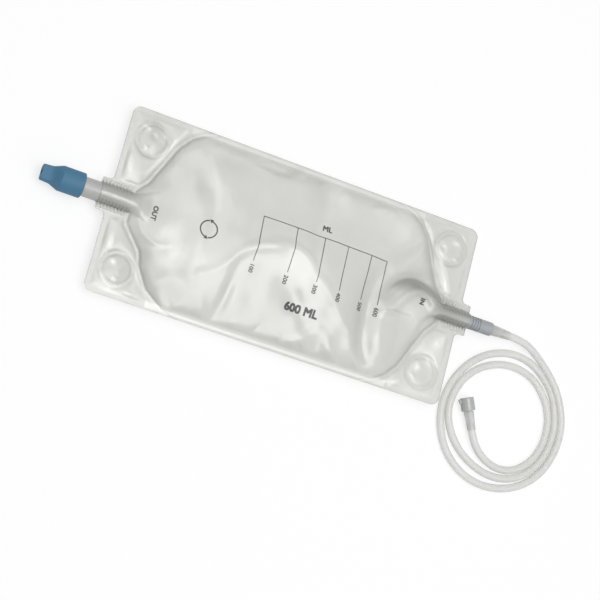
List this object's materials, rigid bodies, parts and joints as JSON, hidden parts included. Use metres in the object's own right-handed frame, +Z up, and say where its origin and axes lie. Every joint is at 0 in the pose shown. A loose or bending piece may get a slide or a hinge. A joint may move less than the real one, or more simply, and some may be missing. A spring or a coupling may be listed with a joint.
{
  "type": "drainage bag",
  "caption": "Clear film drainage bag lying flat, with a twist valve outlet, a ribbed inlet connector and coiled tubing that ends in a rotating luer lock.",
  "frame": {"origin": "centre of the back film's flat patch that rests on the table", "axes": "+X along the bag from the outlet to the inlet, +Z up from the table through the front film, +Y across the bag"},
  "size_m": [0.4289, 0.1789, 0.02],
  "materials": {
    "clear_film": "clear soft film",
    "port_tube": "milky soft tube",
    "valve_plastic": "pale blue moulded",
    "blue_cap": "satin moulded",
    "grey_adapter": "satin moulded",
    "tubing": "milky soft tube",
    "luer_plastic": "translucent moulded"
  },
  "bodies": {
    "bag": {"front_film": "clear_film", "back_film": "clear_film", "outlet_port": "port_tube", "valve_stem": "valve_plastic", "inlet_port": "port_tube", "inlet_adapter": "grey_adapter", "tube_sleeve": "tubing", "drain_tube_lead": "tubing", "drain_tube_coil": "tubing", "drain_tube_tail": "tubing", "luer_hub": "luer_plastic"},
    "cap": {"twist_cap": "blue_cap"},
    "collar": {"luer_collar": "luer_plastic"}
  },
  "joints": [
    {"name": "cap_twist", "type": "hinge", "parent": "bag", "child": "cap", "pos_m": [-0.17, 0, 0.01], "axis": [1, 0, 0], "range_deg": [0, 90]},
    {"name": "collar_spin", "type": "hinge", "parent": "bag", "child": "collar", "pos_m": [0.16126, -0.05721, 0.0054], "axis": [-0.4147, 0.91, 0], "continuous": true}
  ]
}
